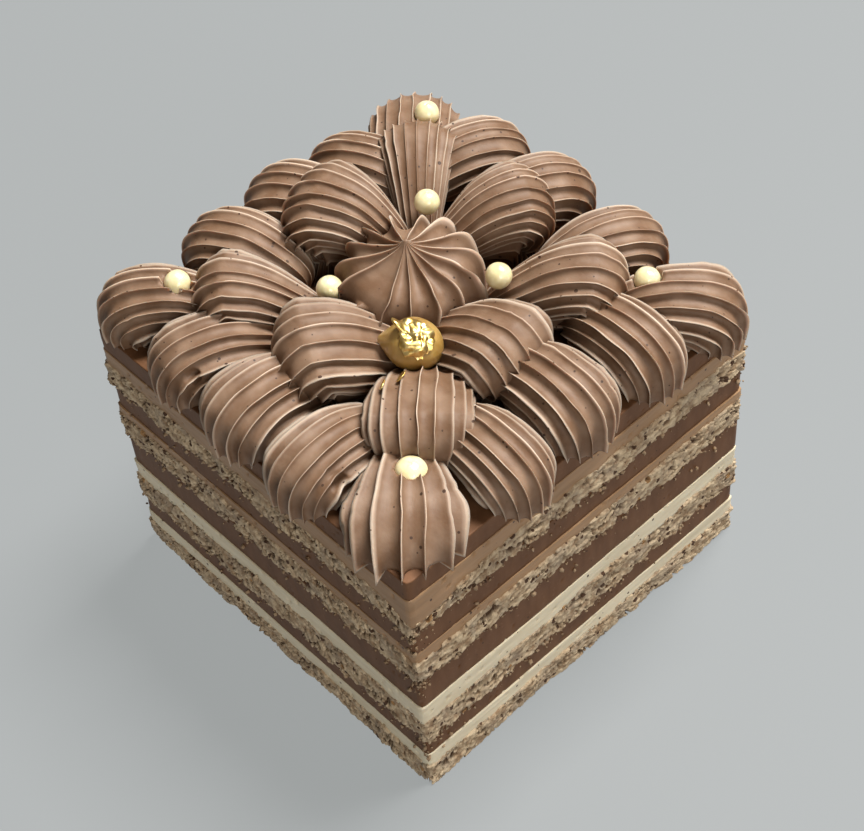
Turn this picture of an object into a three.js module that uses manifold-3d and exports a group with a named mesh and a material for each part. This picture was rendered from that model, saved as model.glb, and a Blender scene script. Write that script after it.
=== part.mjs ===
// A square layered chocolate and hazelnut cake, cut clean on its four sides, with a top of piped
// buttercream shells, crunchy pearls and one hazelnut under a scrap of gold leaf.
// Millimetres, +Z up. The origin is the middle of the underside, and the cut sides face X and Y.

import * as THREE from 'three';
import Module from 'manifold-3d';
import { mergeVertices } from 'three/addons/utils/BufferGeometryUtils.js';

const wasm = await Module();
wasm.setup();

// ---------------------------------------------------------------- driving dimensions

const CAKE_SIDE = 100;
const HALF_SIDE = CAKE_SIDE / 2;
const LAYER_GAP = 0.1;
const PIECE_GAP = 0.38;
const SLIVER = 0.02;

// From the bottom up: four rounds of hazelnut sponge, cream and chocolate ganache.
// rise is the layer's thickness, wave how far its upper edge wanders, proud how far its cut side
// stands out from the cake's side, and crag how rough that side is.
const SPONGE = { material: 'sponge', proud: 0.7, crag: 0.75, rows: 3 };
const CREAM = { material: 'pale_cream', proud: 0.35, crag: 0.25, rows: 2 };
const GANACHE = { material: 'ganache', proud: -0.3, crag: 0.12, rows: 2 };
const LAYERS = [
  { ...SPONGE, name: 'sponge_1', rise: 6.6, wave: 0.8 },
  { ...CREAM, name: 'cream_1', rise: 4.0, wave: 0.15 },
  { ...GANACHE, name: 'ganache_1', rise: 5.6, wave: 0.5 },
  { ...SPONGE, name: 'sponge_2', rise: 8.0, wave: 0.9 },
  { ...CREAM, name: 'cream_2', rise: 4.8, wave: 0.2 },
  { ...GANACHE, name: 'ganache_2', rise: 9.7, wave: 0.4 },
  { ...SPONGE, name: 'sponge_3', rise: 7.5, wave: 0.6 },
  { ...CREAM, name: 'cream_3', rise: 2.5, wave: 0.2, material: 'tan_cream' },
  { ...GANACHE, name: 'ganache_3', rise: 6.7, wave: 0.5 },
  { ...SPONGE, name: 'sponge_4', rise: 6.8, wave: 1.0 },
  { ...CREAM, name: 'cream_4', rise: 4.6, wave: 0.2, material: 'tan_cream' },
  { ...GANACHE, name: 'ganache_4', rise: 5.8, wave: 0 },
];
const STEPS_PER_SIDE = 8;
const TOP = LAYERS.reduce((height, layer) => height + layer.rise, 0);

// A piped shell in its own frame: the foot's middle is at 0,0, the foot points along +u, and the
// tail runs back along -u. The nozzle's star-shaped section turns about a hinge line behind the
// foot, from lying flat on the cake to lying back on the tail. An inner shell stands on the tails
// of the outer ones, so its hinge starts higher up and its section starts a little under flat.
const VALLEY_DEPTH = 0.2;
const LAST_TURN = 172;
const SHELL_TURNS = [0, 34, 66, 96, 130, LAST_TURN];
const BACK_TURN = -32;
const DRAW_TURN = 60;
const HINGE_RADIUS = 0.3;
const STALK_WIDE = 1.05;
const FRONT_POWER = 2.15;
const TIP = 0.12;
const TUCK_TURNS = [-10, 45];
const BACK_SHRINK = 0.36;
// How flat the hinge side of the section is, and between which cosines of its angle that begins.
const FLATTENED = 0.45;
const FLAT_FROM = [0, 0.5];
// The section's length behind the top, over the shell's height, at each turn of the nozzle, and how
// much of it a full waist takes away. Then the same for its width over the shell's own.
const LENGTH_BEHIND = [[90, 1], [105, 0.98], [120, 0.94], [150, 0.8], [LAST_TURN, 0.42]];
const LENGTH_WAIST = [[90, 0], [105, 0.03], [120, 0.1], [150, 0.28], [LAST_TURN, 0.3]];
const WIDTH_ALONG = [
  [-35, 0.85], [0, 0.97], [35, 1], [75, 0.98], [105, 0.92], [135, 0.75], [LAST_TURN, 0.32],
];
const WIDTH_WAIST = [[35, 0], [75, 0.22], [105, 0.42], [135, 0.45], [LAST_TURN, 0]];

// x and y are the foot's middle, aim the way the foot points in degrees from +X, lift the hinge's
// height over the cake and back how far the hinge lies behind the foot. steep is how late the tail
// is drawn back, waist how much it narrows, and tuck how much the foot draws in under the bulge.
const EDGE_SHELL = {
  reach: 10.6, width: 20, height: 14, tail: 21, teeth: 13, lift: 0, back: 5, steep: 2, waist: 0, tuck: 0.18,
};
const CORNER_SHELL = { ...EDGE_SHELL, reach: 11.9, waist: 0.4 };
const INNER_SHELL = {
  ...EDGE_SHELL, reach: 9.9, height: 19, tail: 18, teeth: 14, lift: 6.5, steep: 2.4,
};
const INNER_CORNER = { ...INNER_SHELL, reach: 9.3, tail: 22, waist: 0.3 };

// In the order in which they were laid over each other: the first lies on top of the later ones.
const SHELLS = [
  {
    ...INNER_CORNER, name: 'inner_shell_front_right',
    x: 30, y: -26.9, aim: -45, width: 23.5, height: 17.1, teeth: 17, tail: 17, steep: 1, waist: 0,
  },
  { ...INNER_SHELL, name: 'inner_shell_front', x: -1.5, y: -28.2, aim: -120, width: 27.3, teeth: 13 },
  { ...INNER_SHELL, name: 'inner_shell_right', x: 27.4, y: -0.4, aim: 5, width: 25, teeth: 13 },
  {
    ...INNER_CORNER, name: 'inner_shell_front_left',
    x: -28.4, y: -28.7, aim: -135, width: 22.5, height: 18.1,
  },
  {
    ...INNER_CORNER, name: 'inner_shell_back_right',
    x: 26.3, y: 26.2, aim: 45, reach: 10.1, width: 22.6, height: 19.5,
  },
  {
    ...INNER_SHELL, name: 'inner_shell_left',
    x: -33.5, y: 3.8, aim: -155, reach: 10.4, width: 25, height: 20.4,
    teeth: 15, back: 7, tail: 19, waist: 0.6,
  },
  {
    ...INNER_SHELL, name: 'inner_shell_back',
    x: -1.8, y: 32.6, aim: 65, reach: 9.5, width: 24.2, height: 19.8, teeth: 16, waist: 0.5,
  },
  {
    ...INNER_CORNER, name: 'inner_shell_back_left',
    x: -32.3, y: 31.1, aim: 135, width: 19.8, height: 18.2, teeth: 16, waist: 0.4,
  },
  {
    ...CORNER_SHELL, name: 'corner_shell_front_right',
    x: 38.3, y: -39.3, aim: -45, reach: 13.4, width: 26, height: 11.2,
    teeth: 12, tail: 18, waist: 0.8, tuck: 0.05,
  },
  { ...EDGE_SHELL, name: 'edge_shell_front_3', x: 18.5, y: -46.7, aim: -90, height: 12.7 },
  {
    ...EDGE_SHELL, name: 'edge_shell_right_1',
    x: 47.2, y: -19, aim: 0, reach: 11, width: 18.6, height: 13.1,
  },
  {
    ...EDGE_SHELL, name: 'edge_shell_front_2',
    x: -2.1, y: -46.2, aim: -93, reach: 10, width: 22.6, height: 13.5,
  },
  { ...EDGE_SHELL, name: 'edge_shell_right_2', x: 45.3, y: 0.8, aim: 0, reach: 11, width: 21, height: 15 },
  {
    ...EDGE_SHELL, name: 'edge_shell_front_1',
    x: -22.6, y: -45, aim: -112, reach: 10.2, width: 21, height: 13.5,
  },
  {
    ...EDGE_SHELL, name: 'edge_shell_right_3',
    x: 45.4, y: 21.3, aim: 0, reach: 11.1, width: 19.2, height: 14.4,
  },
  { ...CORNER_SHELL, name: 'corner_shell_front_left', x: -43.5, y: -41.4, aim: -135, width: 20.7 },
  { ...CORNER_SHELL, name: 'corner_shell_back_right', x: 45.2, y: 40, aim: 45, width: 23.2 },
  { ...EDGE_SHELL, name: 'edge_shell_left_1', x: -44.7, y: -17.8, aim: -157, height: 14.8 },
  { ...EDGE_SHELL, name: 'edge_shell_back_3', x: 20.6, y: 43.9, aim: 67 },
  { ...EDGE_SHELL, name: 'edge_shell_left_2', x: -46, y: 1.5, aim: -157, width: 20.9, height: 15.2 },
  { ...EDGE_SHELL, name: 'edge_shell_back_2', x: -2.4, y: 45.4, aim: 67, height: 15.3 },
  { ...EDGE_SHELL, name: 'edge_shell_left_3', x: -45, y: 19.3, aim: -157, width: 18.6 },
  { ...EDGE_SHELL, name: 'edge_shell_back_1', x: -22.7, y: 45.3, aim: 67 },
  { ...CORNER_SHELL, name: 'corner_shell_back_left', x: -42.8, y: 39.6, aim: 135, width: 22.6, teeth: 17 },
];

const ROSETTE = { x: -3.6, y: 1.4, radius: 17.3, height: 20.6, teeth: 15, twist: 20 };
// Height and radius of the rosette's rings, as parts of the whole.
const ROSETTE_RINGS = [
  [0, 0.86],
  [0.16, 0.96],
  [0.38, 1],
  [0.56, 0.96],
  [0.67, 0.86],
  [0.75, 0.67],
  [0.83, 0.35],
  [0.9, 0.14],
  [1, 0.02],
];

const PEARL_RADIUS = 2.9;
const PEARLS = [
  { x: 35.4, y: -34.3, z: 81 },
  { x: -37, y: -35, z: 84.6 },
  { x: 34.8, y: 34.4, z: 83.4 },
  { x: -36.8, y: 38.4, z: 86.6 },
  { x: -16, y: 18.7, z: 84.9 },
  { x: 12.8, y: 12.4, z: 85.8 },
  { x: -13, y: -12.9, z: 83 },
];

const HAZELNUT = { x: 13.9, y: -13.6, z: 85.6, radius: 5.6, length: 6.5, aim: -150 };
// The leaf lies over the nut's upper right, where facing points from the nut's middle.
const LEAF = {
  width: 7.8, depth: 9.4, thickness: 0.25, clear: 0.35, crumple: 0.3, ragged: 0.14, steps: 5,
  facing: new THREE.Vector3(0.47, -0.18, 0.86).normalize(),
};

// ---------------------------------------------------------------- finishes

const finish = (color, roughness, metalness = 0) =>
  new THREE.MeshStandardMaterial({ color, roughness, metalness });

const MATERIALS = {
  sponge: finish(0xb9a47f, 0.9),
  pale_cream: finish(0xcdbd95, 0.6),
  tan_cream: finish(0xa98a63, 0.6),
  ganache: finish(0x6b4836, 0.45),
  buttercream: finish(0xa9856f, 0.5),
  pearl: finish(0xe4d9a6, 0.2),
  hazelnut: finish(0xa9823c, 0.35),
  gold: finish(0xd9b24c, 0.25, 1),
};

// ---------------------------------------------------------------- solids

// A closed solid from rings of points, each ring as long as the last, with a fan over both ends.
function solidFromRings(rings, bottomCentre, topCentre) {
  const count = rings[0].length;
  const points = rings.flat();
  points.push(bottomCentre, topCentre);
  const bottom = points.length - 2;
  const top = points.length - 1;
  const last = (rings.length - 1) * count;
  const faces = [];
  for (let i = 0; i < count; i++) {
    const j = (i + 1) % count;
    faces.push(bottom, j, i);
    faces.push(top, last + i, last + j);
    for (let row = 0; row < rings.length - 1; row++) {
      const below = row * count;
      const above = below + count;
      faces.push(below + i, below + j, above + j);
      faces.push(below + i, above + j, above + i);
    }
  }
  const geometry = new THREE.BufferGeometry();
  geometry.setAttribute('position', new THREE.Float32BufferAttribute(points.flat(), 3));
  geometry.setIndex(faces);
  return geometry;
}

function toManifold(geometry, tolerance = 1e-4) {
  const bare = geometry.clone();
  bare.deleteAttribute('normal');
  bare.deleteAttribute('uv');
  const merged = mergeVertices(bare, tolerance);
  return new wasm.Manifold(
    new wasm.Mesh({
      numProp: 3,
      vertProperties: new Float32Array(merged.attributes.position.array),
      triVerts: new Uint32Array(merged.index.array),
    }),
  );
}

function toGeometry(manifold) {
  const mesh = manifold.getMesh();
  const geometry = new THREE.BufferGeometry();
  geometry.setAttribute('position', new THREE.BufferAttribute(mesh.vertProperties.slice(), 3));
  geometry.setIndex(new THREE.BufferAttribute(mesh.triVerts.slice(), 1));
  return geometry;
}

// The piece without the loose scraps that a cut leaves beside it. Corners closer together than
// SLIVER are joined, so that no needle-thin triangle is left along the cut.
function largestPiece(manifold) {
  const largest = manifold.decompose().reduce((a, b) => (a.volume() > b.volume() ? a : b));
  return toManifold(toGeometry(largest), SLIVER);
}

// The middle of a ring of points.
function centreOf(ring) {
  return [0, 1, 2].map((axis) => ring.reduce((sum, point) => sum + point[axis], 0) / ring.length);
}

// A value read off a table of [at, value] pairs, eased between its rows.
function readTable(table, at) {
  let row = 0;
  while (row < table.length - 2 && at > table[row + 1][0]) row++;
  const [from, low] = table[row];
  const [to, high] = table[row + 1];
  return THREE.MathUtils.lerp(low, high, THREE.MathUtils.clamp((at - from) / (to - from), 0, 1));
}

// Even, repeatable unevenness between -1 and 1, from three waves that never line up.
const WAVES = [
  { share: 0.45, pace: 0.71, shift: 2.3 },
  { share: 0.3, pace: 1.93, shift: 5.1 },
  { share: 0.25, pace: 3.37, shift: 9.7 },
];

function uneven(at, seed) {
  return WAVES.reduce((sum, { share, pace, shift }) => sum + share * Math.sin(at * pace + seed * shift), 0);
}

// ---------------------------------------------------------------- cake layers

// The cake's outline as steps round the four sides of a square of half side 1.
function outline() {
  const steps = [];
  const corners = [[-1, -1], [1, -1], [1, 1], [-1, 1]];
  for (let side = 0; side < 4; side++) {
    const [fromX, fromY] = corners[side];
    const [toX, toY] = corners[(side + 1) % 4];
    for (let step = 0; step < STEPS_PER_SIDE; step++) {
      const along = step / STEPS_PER_SIDE;
      steps.push([THREE.MathUtils.lerp(fromX, toX, along), THREE.MathUtils.lerp(fromY, toY, along)]);
    }
  }
  return steps;
}

// One layer: a slab whose cut side stands proud by its own roughness, and whose upper and lower
// edges wander with those of its neighbours.
function layerSolid(layer, index, floor, lowerWave) {
  const ceiling = floor + layer.rise;
  const rings = [];
  for (let row = 0; row < layer.rows; row++) {
    const up = row / (layer.rows - 1);
    rings.push(
      outline().map(([x, y], step) => {
        const low = floor + lowerWave * uneven(step, index) + (index > 0 ? LAYER_GAP / 2 : 0);
        const high = ceiling + layer.wave * uneven(step, index + 1) - LAYER_GAP / 2;
        const out = HALF_SIDE + layer.proud + layer.crag * uneven(step * 1.7 + row * 4.1, index + 20);
        return [x * out, y * out, THREE.MathUtils.lerp(low, high, up)];
      }),
    );
  }
  const underside = [0, 0, floor + (index > 0 ? LAYER_GAP / 2 : 0)];
  return solidFromRings(rings, underside, [0, 0, ceiling - LAYER_GAP / 2]);
}

// ---------------------------------------------------------------- piped shells

// Angles round the nozzle's section: a point on each tooth and in each valley where it shows, and
// a few round the hinge. A smooth section is drawn round the toothed one, with even points.
const HINGE_ANGLES = [0.76, 1, 1.24];
const SMOOTH_POINTS = 18;

function sectionAngles(teeth, smooth) {
  const angles = [];
  if (smooth) {
    for (let k = 0; k < SMOOTH_POINTS; k++) {
      angles.push({ angle: (2 * Math.PI * k) / SMOOTH_POINTS, valley: false });
    }
    return angles;
  }
  const shown = 2 * Math.floor(teeth / 4);
  for (let k = -shown; k <= shown; k++) {
    angles.push({ angle: (k * Math.PI) / teeth, valley: k % 2 !== 0 });
  }
  for (const back of HINGE_ANGLES) angles.push({ angle: back * Math.PI, valley: false });
  return angles;
}

// How long the section is at a turn of the nozzle, from the hinge to its far edge: a superellipse
// from the shell's reach to its height, and a falling length behind.
function sectionLength({ reach, height, lift, back, waist }, turn) {
  const longest = reach + back;
  const tallest = height - lift;
  if (turn < 0) return longest * (1 - BACK_SHRINK * (turn / BACK_TURN) ** 2);
  if (turn > 90) return tallest * (readTable(LENGTH_BEHIND, turn) - waist * readTable(LENGTH_WAIST, turn));
  const lean = THREE.MathUtils.degToRad(turn);
  const forward = (Math.cos(lean) / longest) ** FRONT_POWER;
  const upward = (Math.sin(lean) / tallest) ** FRONT_POWER;
  return (forward + upward) ** (-1 / FRONT_POWER);
}

// The section's sine, drawn outward on the side of the hinge, so that it lies flat there.
function flattenedSine(angle) {
  const { smoothstep } = THREE.MathUtils;
  const power = 1 - FLATTENED * smoothstep(-Math.cos(angle), ...FLAT_FROM);
  return Math.sign(Math.sin(angle)) * Math.abs(Math.sin(angle)) ** power;
}

function shellRings(shell, grow = 0) {
  const { width, height, tail, lift, back, steep, waist, teeth } = shell;
  const aim = THREE.MathUtils.degToRad(shell.aim);
  const smooth = grow > 0;
  const wrap = smooth ? 1 / Math.cos(Math.PI / SMOOTH_POINTS) : 1;
  const turns = lift > 0 ? [BACK_TURN, ...SHELL_TURNS] : SHELL_TURNS;
  const rings = turns.map((turn) => {
    const lean = THREE.MathUtils.degToRad(turn);
    const drawn = THREE.MathUtils.clamp((turn - DRAW_TURN) / (LAST_TURN - DRAW_TURN), 0, 1);
    const hinge = -back - (tail - back - (height - lift) * TIP) * drawn ** steep;
    const tuck = 1 - shell.tuck * (1 - THREE.MathUtils.smoothstep(turn, ...TUCK_TURNS));
    const halfRise = (sectionLength(shell, turn) / 2) * tuck;
    const share = readTable(WIDTH_ALONG, turn) - waist * readTable(WIDTH_WAIST, turn);
    const halfWidth = (width / 2) * share * tuck;
    return sectionAngles(teeth, smooth).map(({ angle, valley }) => {
      const swell = valley ? 1 - VALLEY_DEPTH : 1;
      const up = HINGE_RADIUS + halfRise + (halfRise * wrap + grow) * Math.cos(angle) * swell;
      const across = (halfWidth * wrap + grow) * flattenedSine(angle) * swell;
      const along = hinge + up * Math.cos(lean);
      return [
        shell.x + along * Math.cos(aim) - across * Math.sin(aim),
        shell.y + along * Math.sin(aim) + across * Math.cos(aim),
        TOP + Math.max(lift * (1 - drawn) + Math.max(up, 0) * Math.sin(lean), 0),
      ];
    });
  });
  if (lift > 0) {
    const [middleX, middleY] = centreOf(rings[0]);
    const stalk = rings[0].map(([x, y]) => [
      THREE.MathUtils.lerp(middleX, x, STALK_WIDE),
      THREE.MathUtils.lerp(middleY, y, STALK_WIDE),
      TOP,
    ]);
    rings.unshift(stalk);
  }
  return rings;
}

function shellSolid(shell, grow = 0) {
  const rings = shellRings(shell, grow);
  return toManifold(solidFromRings(rings, centreOf(rings[0]), centreOf(rings.at(-1))));
}

// The rosette in the middle: the same nozzle held upright, lifted off in a soft peak.
function rosetteSolid(grow = 0) {
  const step = Math.PI / ROSETTE.teeth;
  const rings = ROSETTE_RINGS.map(([rise, swell]) => {
    const ring = [];
    for (let k = 0; k < 2 * ROSETTE.teeth; k++) {
      const smooth = grow > 0;
      if (smooth && k % 2 === 1) continue;
      const wrap = smooth ? 1 / Math.cos(step) : 1;
      const radius = ROSETTE.radius * swell * wrap * (k % 2 === 1 ? 1 - VALLEY_DEPTH : 1) + grow;
      const angle = k * step + THREE.MathUtils.degToRad(ROSETTE.twist) * rise;
      ring.push([
        ROSETTE.x + radius * Math.cos(angle),
        ROSETTE.y + radius * Math.sin(angle),
        TOP + rise * (ROSETTE.height + grow),
      ]);
    }
    return ring;
  });
  return toManifold(solidFromRings(rings, centreOf(rings[0]), centreOf(rings.at(-1))));
}

// ---------------------------------------------------------------- toppings

// A peeled hazelnut: a ball drawn out to a blunt point along its own +Z.
function hazelnutGeometry(grow = 0) {
  const geometry = new THREE.IcosahedronGeometry(1, 2);
  const position = geometry.attributes.position;
  for (let i = 0; i < position.count; i++) {
    const up = position.getZ(i);
    const taper = 1 - 0.16 * Math.max(up, 0) ** 2;
    position.setXYZ(
      i,
      position.getX(i) * (HAZELNUT.radius * taper + grow),
      position.getY(i) * (HAZELNUT.radius * taper + grow),
      up * (HAZELNUT.length + grow),
    );
  }
  return geometry;
}

// Where the hazelnut lies: on its side, its point aimed to the left of the front corner.
function layHazelnut(target) {
  target.rotateY(Math.PI / 2);
  target.rotateZ(THREE.MathUtils.degToRad(HAZELNUT.aim));
  target.translate(HAZELNUT.x, HAZELNUT.y, HAZELNUT.z);
  return target;
}

// A scrap of gold leaf draped over the nut: a thin crumpled sheet, both faces split alike. Each
// point lies on the ray from the nut's middle, a little way off its skin.
function leafSolid() {
  const { width, depth, thickness, clear, crumple, ragged, steps, facing } = LEAF;
  const aim = THREE.MathUtils.degToRad(HAZELNUT.aim);
  const nutAxis = new THREE.Vector3(Math.cos(aim), Math.sin(aim), 0);
  const side = new THREE.Vector3(0, 0, 1).cross(facing).normalize();
  const upward = facing.clone().cross(side);
  const sheet = (lift) => {
    const rows = [];
    for (let i = 0; i <= steps; i++) {
      const row = [];
      for (let j = 0; j <= steps; j++) {
        const u = (i / steps - 0.5) * width * (1 + ragged * uneven(j * 2.1, 3));
        const v = (j / steps - 0.5) * depth * (1 + ragged * uneven(i * 1.7, 5));
        const ray = facing
          .clone()
          .multiplyScalar(Math.sqrt(HAZELNUT.length ** 2 - u * u - v * v))
          .addScaledVector(side, u)
          .addScaledVector(upward, v)
          .normalize();
        const lengthwise = ray.dot(nutAxis) ** 2;
        const across = (1 - lengthwise) / HAZELNUT.radius ** 2;
        const skin = 1 / Math.sqrt(lengthwise / HAZELNUT.length ** 2 + across);
        const fold = crumple * (1 + uneven(i * 2.7 + j * 1.9, 7));
        const far = skin + clear + fold + lift;
        row.push([HAZELNUT.x + ray.x * far, HAZELNUT.y + ray.y * far, HAZELNUT.z + ray.z * far]);
      }
      rows.push(row);
    }
    return rows;
  };
  const around = (rows) => {
    const ring = [];
    for (let i = 0; i < steps; i++) ring.push(rows[i][0]);
    for (let j = 0; j < steps; j++) ring.push(rows[steps][j]);
    for (let i = steps; i > 0; i--) ring.push(rows[i][steps]);
    for (let j = steps; j > 0; j--) ring.push(rows[0][j]);
    return ring;
  };
  const under = sheet(0);
  const over = sheet(thickness);
  const triangles = [];
  for (let i = 0; i < steps; i++) {
    for (let j = 0; j < steps; j++) {
      triangles.push(over[i][j], over[i + 1][j], over[i + 1][j + 1]);
      triangles.push(over[i][j], over[i + 1][j + 1], over[i][j + 1]);
      triangles.push(under[i][j], under[i + 1][j + 1], under[i + 1][j]);
      triangles.push(under[i][j], under[i][j + 1], under[i + 1][j + 1]);
    }
  }
  const lower = around(under);
  const upper = around(over);
  for (let i = 0; i < lower.length; i++) {
    const j = (i + 1) % lower.length;
    triangles.push(lower[i], lower[j], upper[j]);
    triangles.push(lower[i], upper[j], upper[i]);
  }
  const geometry = new THREE.BufferGeometry();
  geometry.setAttribute('position', new THREE.Float32BufferAttribute(triangles.flat(), 3));
  return toManifold(geometry);
}

// ---------------------------------------------------------------- the cake

const cake = new THREE.Group();
const layers = new THREE.Group();
const piping = new THREE.Group();
const toppings = new THREE.Group();
cake.add(layers, piping, toppings);

function addPiece(group, name, geometry, material) {
  const mesh = new THREE.Mesh(geometry, MATERIALS[material]);
  mesh.name = name;
  group.add(mesh);
  return mesh;
}

let floor = 0;
let lowerWave = 0;
LAYERS.forEach((layer, index) => {
  addPiece(layers, layer.name, layerSolid(layer, index, floor, lowerWave), layer.material);
  floor += layer.rise;
  lowerWave = layer.wave;
});

// Room for the toppings, pressed into the piping.
const seats = PEARLS.map(({ x, y, z }) =>
  toManifold(new THREE.IcosahedronGeometry(PEARL_RADIUS + PIECE_GAP, 1).translate(x, y, z)),
);
seats.push(toManifold(layHazelnut(hazelnutGeometry(PIECE_GAP))));
let taken = wasm.Manifold.union(seats);

const rosette = largestPiece(rosetteSolid().subtract(taken));
addPiece(piping, 'centre_rosette', toGeometry(rosette), 'buttercream');
taken = taken.add(rosetteSolid(PIECE_GAP));

for (const shell of SHELLS) {
  const piece = largestPiece(shellSolid(shell).subtract(taken));
  addPiece(piping, shell.name, toGeometry(piece), 'buttercream');
  taken = taken.add(shellSolid(shell, PIECE_GAP));
}

PEARLS.forEach(({ x, y, z }, index) => {
  const pearl = addPiece(
    toppings,
    `pearl_${index + 1}`,
    new THREE.IcosahedronGeometry(PEARL_RADIUS, 1),
    'pearl',
  );
  pearl.position.set(x, y, z);
});
addPiece(toppings, 'hazelnut', layHazelnut(hazelnutGeometry()), 'hazelnut');
addPiece(toppings, 'gold_leaf', toGeometry(leafSolid()), 'gold');

export default cake;
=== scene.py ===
import bpy
import numpy as np
from mathutils import Matrix, Vector


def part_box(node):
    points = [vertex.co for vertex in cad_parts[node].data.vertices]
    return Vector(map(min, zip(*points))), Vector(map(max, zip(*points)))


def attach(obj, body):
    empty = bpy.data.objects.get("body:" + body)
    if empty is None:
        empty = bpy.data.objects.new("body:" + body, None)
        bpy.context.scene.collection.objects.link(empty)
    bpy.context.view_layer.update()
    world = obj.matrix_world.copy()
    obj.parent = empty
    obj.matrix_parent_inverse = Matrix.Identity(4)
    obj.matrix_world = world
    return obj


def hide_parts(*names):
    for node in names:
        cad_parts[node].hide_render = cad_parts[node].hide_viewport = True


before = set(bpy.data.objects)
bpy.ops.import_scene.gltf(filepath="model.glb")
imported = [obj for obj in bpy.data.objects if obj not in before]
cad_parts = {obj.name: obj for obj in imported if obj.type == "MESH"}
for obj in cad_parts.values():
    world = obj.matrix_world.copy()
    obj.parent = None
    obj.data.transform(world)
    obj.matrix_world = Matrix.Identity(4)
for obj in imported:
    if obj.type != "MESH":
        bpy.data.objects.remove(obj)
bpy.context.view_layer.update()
MM = 0.001

# ----------------------------------------------------------------------- sponge
# Four rounds of hazelnut sponge, baked in sheets and cut through with the finished cake. The knife
# opens the crumb, so the cut side is grains of ground nut with pores between them, darkened as
# painted shade, and it breaks away raggedly where the sponge meets the softer layers.

LAYER_NAMES = [
    "sponge_1", "cream_1", "ganache_1", "sponge_2", "cream_2", "ganache_2",
    "sponge_3", "cream_3", "ganache_3", "sponge_4", "cream_4", "ganache_4",
]
layer_boxes = [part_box(name) for name in LAYER_NAMES]
HALF_SIDE = 50.0
# How far each upright corner is pulled in, and from where along the half side on.
CORNER_ROUND = 0.3
CORNER_FROM = 0.965


def seam_height(seam):
    """Level of the seam under that layer, in mm: halfway between the boxes of the two layers."""
    if seam == 0:
        return 0.0
    if seam == len(LAYER_NAMES):
        return layer_boxes[-1][1].z / MM
    return (layer_boxes[seam - 1][1].z + layer_boxes[seam][0].z) / 2 / MM


def wander(turn, up, cells, seed):
    """Value noise from -1 to 1. Random heights stand at the corners of a lattice, with so many
    cells in one turn and one cell for each unit of up, and are eased from corner to corner."""
    heights = np.random.default_rng(seed).uniform(-1, 1, (64, cells))
    x, y = np.broadcast_arrays(np.asarray(turn, float) * cells, np.asarray(up, float))
    column, row = np.floor(x).astype(int), np.floor(y).astype(int)
    across, along = x - column, y - row
    across, along = across * across * (3 - 2 * across), along * along * (3 - 2 * along)
    left, right, low, high = column % cells, (column + 1) % cells, row % 64, (row + 1) % 64
    lower = heights[low, left] * (1 - across) + heights[low, right] * across
    upper = heights[high, left] * (1 - across) + heights[high, right] * across
    return lower * (1 - along) + upper * along


def nearest_grain(turn, up, cells, seed):
    """Cell noise. One point stands at random in each cell of the same kind of lattice. Returns the
    distance to the nearest point, in cells, and that point's own random number from 0 to 1."""
    spots = np.random.default_rng(seed).random((64, cells, 3))
    x, y = np.broadcast_arrays(np.asarray(turn, float) * cells, np.asarray(up, float))
    column, row = np.floor(x).astype(int), np.floor(y).astype(int)
    nearest, own = np.full(x.shape, 9.0), np.zeros(x.shape)
    for aside in (-1, 0, 1):
        for above in (-1, 0, 1):
            spot = spots[(row + above) % 64, (column + aside) % cells]
            away = np.hypot(column + aside + spot[..., 0] - x, row + above + spot[..., 1] - y)
            own = np.where(away < nearest, spot[..., 2], own)
            nearest = np.minimum(away, nearest)
    return nearest, own


def ease(value, low, high):
    """0 below low, 1 above high, and a smooth S between them."""
    t = np.clip((value - low) / (high - low), 0, 1)
    return t * t * (3 - 2 * t)


# How far each seam wanders, in mm, from the bottom up. A seam over ganache stays nearly level.
SEAM_WANDER = [0.0, 0.5, 0.15, 0.35, 0.6, 0.2, 0.35, 0.55, 0.2, 0.4, 0.7, 0.25, 0.0]
# At the front corner, a quarter turn round, the top cream runs down this far, in mm, and the run
# fades out so far before and after the corner.
FRONT_CORNER = 0.25
CREAM_DIP = 3.2
DIP_BEFORE, DIP_AFTER = 5, 15


def seam_line(turn, seam):
    """Height of a seam round the cake: its level plus a slow wander and a quicker one. The seam
    under the top cream is lowered at the front corner by a bell curve."""
    slow = wander(turn, seam, 24, 100 + seam)
    quick = wander(turn, seam, 110, 200 + seam)
    line = seam_height(seam) + SEAM_WANDER[seam] * (0.75 * slow + 0.35 * quick)
    if LAYER_NAMES[min(seam, len(LAYER_NAMES) - 1)] == "cream_4":
        past = (turn - FRONT_CORNER) * 8 * HALF_SIDE
        fade = np.where(past > 0, DIP_AFTER, DIP_BEFORE)
        line = line - CREAM_DIP * np.exp(-((past / fade) ** 2))
    return line


def on_square(turn):
    """Points round a square of half side 1, from the left corner by the front corner and on round:
    one coordinate runs along a side while the other stays. Also the place along the side."""
    side, along = np.divmod(turn * 4, 1)
    t = 2 * along - 1
    x = np.choose(side.astype(int), [t, np.ones_like(t), -t, -np.ones_like(t)])
    y = np.choose(side.astype(int), [-np.ones_like(t), t, np.ones_like(t), -t])
    return x, y, t


def cut_outline(steps):
    """The cake's outline in so many points: the square, its corners pulled in a little. Also how
    far round each point is."""
    turn = np.arange(steps) / steps
    x, y, t = on_square(turn)
    pull = 1 - CORNER_ROUND / HALF_SIDE * ease(np.abs(t), CORNER_FROM, 1.0) ** 2
    return x * pull, y * pull, turn


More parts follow.
